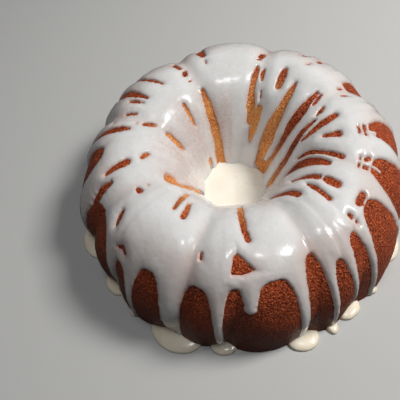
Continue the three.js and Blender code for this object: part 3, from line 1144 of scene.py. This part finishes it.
@dataclass(frozen=True)
class PouredCoat:
    """The coat of glaze: thin and round at its edges, thicker inwards, smoother than the grooves."""

    columns: int = 616
    row_places: tuple[int, ...] = (0, 26, 112, 153)
    row_runs: tuple[float, ...] = (0.0, 50.0, 134.0, 201.0)
    under_rows: int = 7
    edge_height: float = 1.0
    edge_width: float = 1.0
    edge_slack: float = 0.02
    full_height: float = 2.2
    swell: float = 3.2
    least_height: float = 0.5
    level_width: float = 2.6
    level_width_low: float = 2.8
    level_from: float = 40.0
    level_to: float = 85.0
    level_reach: float = 3.0
    level_samples: int = 49
    crease_depth: float = 1.7
    crease_width: float = 5.5
    crease_band: Band = Band(44.0, 64.0, 112.0, 142.0)
    waves: Ripple = Ripple(24.0, 0.3, 11.0)
    dimples: Ripple = Ripple(6.0, 0.07, 29.0)
    wobble: Ripple = Ripple(8.0, 0.4, 3.0)
    crumble: Ripple = Ripple(2.6, 0.4, 9.0)
    foot_flare: float = 1.2
    foot_flare_run: float = 3.0
    hidden: float = -1.5
    under: float = -3.0
    snap: float = 0.46
    step: float = 0.2
    least_steep: float = 0.25

    def _levelled(self, form: RingForm, angle: Array, run: Array) -> Array:
        """Measure how much the glaze levels the flutes out: fuller in the grooves, thinner on crests.

        Args:
            form: The ring under the glaze.
            angle: Degrees round the axis.
            run: The run of each point.

        Returns:
            What levelling adds to the glaze's height.
        """
        low_share = 1.0 - smoothstep(run, self.level_from, self.level_to)
        width = self.level_width + (self.level_width_low - self.level_width) * low_share
        offsets = np.linspace(-self.level_reach, self.level_reach, self.level_samples)
        weights = np.exp(-(offsets**2) / 2)
        scale = form.per_degree(run)
        blurred = sum(
            weight * form.flutes.inset(angle + offset * width / scale, run)
            for offset, weight in zip(offsets, weights)
        )
        depth = form.flutes.inset(angle, run) - blurred / weights.sum()
        return depth * form.flutes.share(run, form.line)

    def _row_height(self, run: Array) -> Array:
        """Measure how much run one row of the sheet takes.

        Args:
            run: The run of each point.

        Returns:
            The height of a row at each point.
        """
        rows = np.interp(run, self.row_runs, self.row_places)
        below, above = (np.interp(rows + side, self.row_places, self.row_runs) for side in (-0.5, 0.5))
        return above - below

    def _snapped(
        self, form: RingForm, glaze: GlazeMap, angle: Array, run: Array
    ) -> tuple[Array, Array, Array]:
        """Move the points nearest to the glaze's edge onto it.

        Args:
            form: The ring under the glaze.
            glaze: Where the glaze is.
            angle: Degrees round the axis.
            run: The run of each point.

        Returns:
            The moved angles and runs, and how far inside the glaze each is.
        """
        scale = form.per_degree(run)
        place = form.at(angle, run)
        uneven = self.wobble.at(place) + self.crumble.at(place)
        here = glaze.edge(form, angle, run) + uneven
        across = (glaze.edge(form, angle + self.step / scale, run) + uneven - here) / self.step
        up = (glaze.edge(form, angle, run + self.step) + uneven - here) / self.step
        steep = np.maximum(across**2 + up**2, self.least_steep)
        cell_across = scale * 360.0 / self.columns
        cell_up = self._row_height(run)
        near = np.abs(here) < (cell_across + cell_up) / 2
        ends = (run <= self.row_runs[0]) | (run >= self.row_runs[-1])
        most_across, most_up = self.snap * cell_across, self.snap * cell_up
        move_across = np.where(near, np.clip(-here * across / steep, -most_across, most_across), 0.0)
        move_up = np.where(near & ~ends, np.clip(-here * up / steep, -most_up, most_up), 0.0)
        inside = here + across * move_across + up * move_up
        return angle + move_across / scale, run + move_up, inside

    def _height(self, form: RingForm, angle: Array, run: Array, inside: Array) -> Array:
        """Work out how high the glaze stands over the crust.

        Args:
            form: The ring under the glaze.
            angle: Degrees round the axis.
            run: The run of each point.
            inside: How far inside the glaze's edge each point is.

        Returns:
            Heights in millimetres, below zero where there is no glaze.
        """
        base = form.at(angle, run)
        share = np.clip(inside / self.edge_width, 0.0, 1.0)
        lip = self.edge_height * np.sqrt(1.0 - (1.0 - share) ** 2)
        body = 1.0 - np.exp(-np.maximum(inside - self.edge_width, 0.0) / self.swell)
        full = self.full_height - self.edge_height + self._levelled(form, angle, run)
        full = full + self.waves.at(base)
        off = form.flutes.off_groove(angle, run) * form.per_degree(run) / self.crease_width
        full = full - self.crease_depth * np.exp(-(off**2)) * self.crease_band.share(run)
        flare = self.foot_flare * np.exp(-run / self.foot_flare_run)
        height = lip + (full + flare) * body + self.dimples.at(base) * share
        height = np.maximum(height, np.minimum(lip, self.least_height))
        return np.where(inside > -self.edge_slack, height, self.hidden)

    def build(self, form: RingForm, glaze: GlazeMap, thin: ThinPlaces) -> Mesh:
        """Build the mesh.

        Args:
            form: The ring under the glaze.
            glaze: Where the glaze is.
            thin: Where it is thin.

        Returns:
            The closed mesh.
        """
        top_rows = self.row_places[-1]
        last_row = top_rows + self.under_rows
        sheet = Sheet(self.columns, last_row)
        run = np.interp(sheet.row, [*self.row_places, last_row], [*self.row_runs, 0.0])
        angle = sheet.angle.copy()
        shown = (sheet.row <= top_rows) | (sheet.row == last_row)
        inside = np.full(run.shape, -FAR_AWAY)
        angle[shown], run[shown], inside[shown] = self._snapped(form, glaze, angle[shown], run[shown])
        height = np.where(shown, self._height(form, angle, run, inside), self.under)
        masks = {"thin": thin.even(form, angle, run, inside), "wall": thin.wall(angle, run)}
        return sheet.bend(form.at(angle, run, height), masks)


@dataclass(frozen=True)
class Pool:
    """The glaze that ran down the hole and set there."""

    level: float = 13.0
    columns: int = 120
    top_rows: int = 36
    side_rows: int = 4
    meniscus: float = 1.4
    meniscus_width: float = 2.6
    waves: Ripple = Ripple(11.0, 0.45, 5.0)
    into_wall: float = 0.8

    def build(self, form: RingForm) -> Mesh:
        """Build the mesh.

        Args:
            form: The ring whose hole it fills.

        Returns:
            The closed mesh.
        """
        side_end = self.top_rows + self.side_rows
        row_ends = [0, self.top_rows, side_end, side_end + self.side_rows]
        sheet = Sheet(self.columns, row_ends[-1])
        end = np.full(sheet.row.shape, form.line.end)
        slant = math.hypot(1.0, form.line.cone)
        wall = form.at(sheet.angle, end - self.level * slant, -self.into_wall)
        foot = form.at(sheet.angle, end, -self.into_wall)
        wall_radius = np.hypot(wall[:, 0], wall[:, 1])
        foot_radius = np.hypot(foot[:, 0], foot[:, 1])
        outward = np.interp(sheet.row, row_ends, [0, 1, 1, 0])
        down = np.interp(sheet.row, row_ends, [0, 0, 1, 1])
        radius = outward * (wall_radius + (foot_radius - wall_radius) * down)
        turn = np.radians(sheet.angle)
        flat = np.column_stack([radius * np.sin(turn), -radius * np.cos(turn), 0.0 * radius])
        rise = self.meniscus * np.exp(-(wall_radius - radius) / self.meniscus_width)
        flat[:, 2] = (self.level + rise + self.waves.at(flat)) * (1.0 - down)
        return sheet.bend(flat, {})


@dataclass(frozen=True)
class Puddle:
    """Glaze that ran off the cake and set on the floor against its foot."""

    first: float
    last: float
    reach: float
    height: float
    segments: int = 64
    rings: int = 32
    centre_radius: float = 121.0
    inward: float = 6.0
    fullness: float = 0.75
    uneven: float = 0.07
    uneven_scale: float = 1.3

    def build(self) -> Mesh:
        """Build the mesh: a flattened drop with its underside flat on the floor.

        Returns:
            The closed mesh.
        """
        mesh = bmesh.new()
        bmesh.ops.create_uvsphere(mesh, u_segments=self.segments, v_segments=self.rings, radius=1.0)
        middle = math.radians((self.first + self.last) / 2)
        half_width = math.radians(self.last - self.first) / 2 * self.centre_radius
        outward = self.reach - self.centre_radius
        for vert in mesh.verts:
            flat = math.hypot(vert.co.x, vert.co.y)
            spread = flat ** (self.fullness - 1.0) if flat > TINY else 0.0
            place = Vector((vert.co.x, vert.co.y, self.first)) * self.uneven_scale
            spread *= 1.0 + self.uneven * noise.noise(place)
            turn = middle + vert.co.x * spread * half_width / self.centre_radius
            side = outward if vert.co.y > 0 else self.inward
            radius = self.centre_radius + vert.co.y * spread * side
            top = self.height * max(vert.co.z, 0.0) ** self.fullness
            vert.co = Vector((radius * math.sin(turn), -radius * math.cos(turn), top)) * MM
        return mesh


NEAR_PUDDLES = (
    Puddle(-91, -76, 132.5, 4),
    Puddle(-68.5, -58.5, 128, 3.6),
    Puddle(-53.2, -48.6, 127.8, 3.4),
    Puddle(-43.5, -24.5, 134, 4.4),
    Puddle(-22.2, -13.4, 127.5, 4),
    Puddle(2.8, 13.8, 131.5, 4.4),
    Puddle(16.4, 20.6, 129.5, 3.8),
    Puddle(22.4, 31, 128, 4),
    Puddle(35.4, 39.6, 127.2, 3.8),
    Puddle(48.5, 60, 128.4, 4.2),
)


@dataclass(frozen=True)
class RingCake:
    """The whole cake, built piece by piece."""

    form: RingForm = RingForm()
    far_side: FarSide = FarSide()
    ring: BakedRing = BakedRing()
    coat: PouredCoat = PouredCoat()
    thin: ThinPlaces = ThinPlaces()
    pool: Pool = Pool()
    crust: CrustFinish = CrustFinish()
    glaze: GlazeFinish = GlazeFinish("white_glaze", (0.74, 0.74, 0.735), (0.67, 0.665, 0.655))
    # Painted light, in part: the pool and the puddles are lighter than the coat, partly a creamier thick
    # glaze and partly brightened to stand for more light in the hole and on the shaded puddles.
    lightened_cream: GlazeFinish = GlazeFinish("pooled_glaze", (0.93, 0.89, 0.79), (0.87, 0.81, 0.69))
    lightened_settled: GlazeFinish = GlazeFinish("lightened_settled_glaze", (0.98, 0.88, 0.71), (0.92, 0.80, 0.62))

    def build(self) -> None:
        """Build every piece and dress it."""
        far_arches, far_puddles = self.far_side.make(self.form.flutes)
        glaze_map = GlazeMap((*NEAR_ARCHES, *far_arches))
        ring = Piece("baked_ring", self.crust.build(), Slot.CRUST, ("cake",))
        ring.add(self.ring.build(self.form))
        coat = Piece("poured_coat", self.glaze.build(), Slot.GLAZE, ("glaze_coat",))
        coat.add(self.coat.build(self.form, glaze_map, self.thin))
        pool = Piece("set_pool", self.lightened_cream.build(), Slot.POOLED_GLAZE, ("glaze_pool",))
        pool.add(self.pool.build(self.form))
        lightened_settled = self.lightened_settled.build()
        for number, puddle in enumerate((*NEAR_PUDDLES, *far_puddles), start=1):
            nodes = (f"glaze_puddle_{number:02d}",)
            Piece(f"set_puddle_{number:02d}", lightened_settled, Slot.GLAZE, nodes).add(puddle.build())


@dataclass(frozen=True)
class SoftLight:
    """A square area light that points at the cake. Places are metres."""

    name: str
    place: tuple[float, float, float]
    size: float
    power: float
    colour: Colour = (1.0, 1.0, 1.0)
    lights: bool = True
    glints: bool = True
    aim: tuple[float, float, float] = (0.0, 0.0, 0.04)

    def build(self) -> None:
        """Add the light to the scene."""
        data = bpy.data.lights.new(self.name, "AREA")
        data.shape = "SQUARE"
        data.size = self.size
        data.energy = self.power
        data.color = self.colour
        lamp = bpy.data.objects.new(self.name, data)
        lamp.visible_diffuse = self.lights
        lamp.visible_glossy = self.glints
        lamp.location = self.place
        towards = Vector(self.aim) - Vector(self.place)
        lamp.rotation_euler = towards.to_track_quat("-Z", "Y").to_euler()
        bpy.context.scene.collection.objects.link(lamp)


@dataclass(frozen=True)
class Studio:
    """A pale floor, soft lights and the camera, whose aim and distance are millimetres."""

    floor_radius: float = 6.0
    floor_segments: int = 96
    world_colour: Colour = (0.80, 0.82, 0.84)
    world_strength: float = 0.032
    aim: tuple[float, float, float] = (-32.0, 3.7, 0.0)
    elevation: float = 60.1
    distance: float = 361.6
    roll: float = -11.9
    focal_share: float = 433.0 / 400.0
    clip_start: float = 0.01
    lights: tuple[SoftLight, ...] = (
        SoftLight("key_light", (0.66, 0.03, 0.88), 0.28, 10.6, (1.0, 0.985, 0.96), glints=False),
        SoftLight("fill_light", (-0.05, 0.0, 1.3), 0.4, 3.9, (0.97, 0.98, 1.0), glints=False),
        SoftLight("side_glint", (0.653, -0.347, 0.92), 0.24, 5.0, (0.95, 0.97, 1.0), lights=False),
        SoftLight("top_glint", (0.039, -0.369, 1.18), 0.14, 1.5, (0.97, 0.98, 1.0), lights=False),
    )

    def _add_floor(self) -> None:
        """Add the floor."""
        mesh = bmesh.new()
        segments = self.floor_segments
        bmesh.ops.create_circle(mesh, cap_ends=True, segments=segments, radius=self.floor_radius)
        data = bpy.data.meshes.new("floor")
        mesh.to_mesh(data)
        mesh.free()
        data.materials.append(FloorFinish().build())
        floor = bpy.data.objects.new("floor", data)
        bpy.context.scene.collection.objects.link(floor)

    def _add_camera(self) -> None:
        """Add the camera, which looks down on the front of the cake."""
        tilt = math.radians(self.elevation)
        roll = math.radians(self.roll)
        forward = Vector((0.0, math.cos(tilt), -math.sin(tilt)))
        right = Vector((1.0, 0.0, 0.0))
        up = Vector((0.0, math.sin(tilt), math.cos(tilt)))
        side = math.cos(roll) * right + math.sin(roll) * up
        top = -math.sin(roll) * right + math.cos(roll) * up
        data = bpy.data.cameras.new("camera")
        data.lens = self.focal_share * data.sensor_width
        data.clip_start = self.clip_start
        camera = bpy.data.objects.new("camera", data)
        place = (Vector(self.aim) - self.distance * forward) * MM
        turned = Matrix((side, top, -forward)).transposed().to_4x4()
        camera.matrix_world = Matrix.Translation(place) @ turned
        bpy.context.scene.collection.objects.link(camera)
        bpy.context.scene.camera = camera

    def build(self) -> None:
        """Set the stage."""
        self._add_floor()
        self._add_camera()
        for light in self.lights:
            light.build()
        world = bpy.data.worlds.new("studio")
        world.use_nodes = True
        sky = world.node_tree.nodes["Background"]
        looks = {"Color": (*self.world_colour, 1.0), "Strength": self.world_strength}
        feed(world.node_tree, sky, looks)
        bpy.context.scene.world = world
        bpy.context.scene.view_settings.view_transform = "Standard"


def main() -> None:
    """Build the cake and its studio."""
    logging.basicConfig(level=logging.INFO, format="%(message)s")
    RingCake().build()
    Studio().build()


if __name__ == "__main__":
    main()
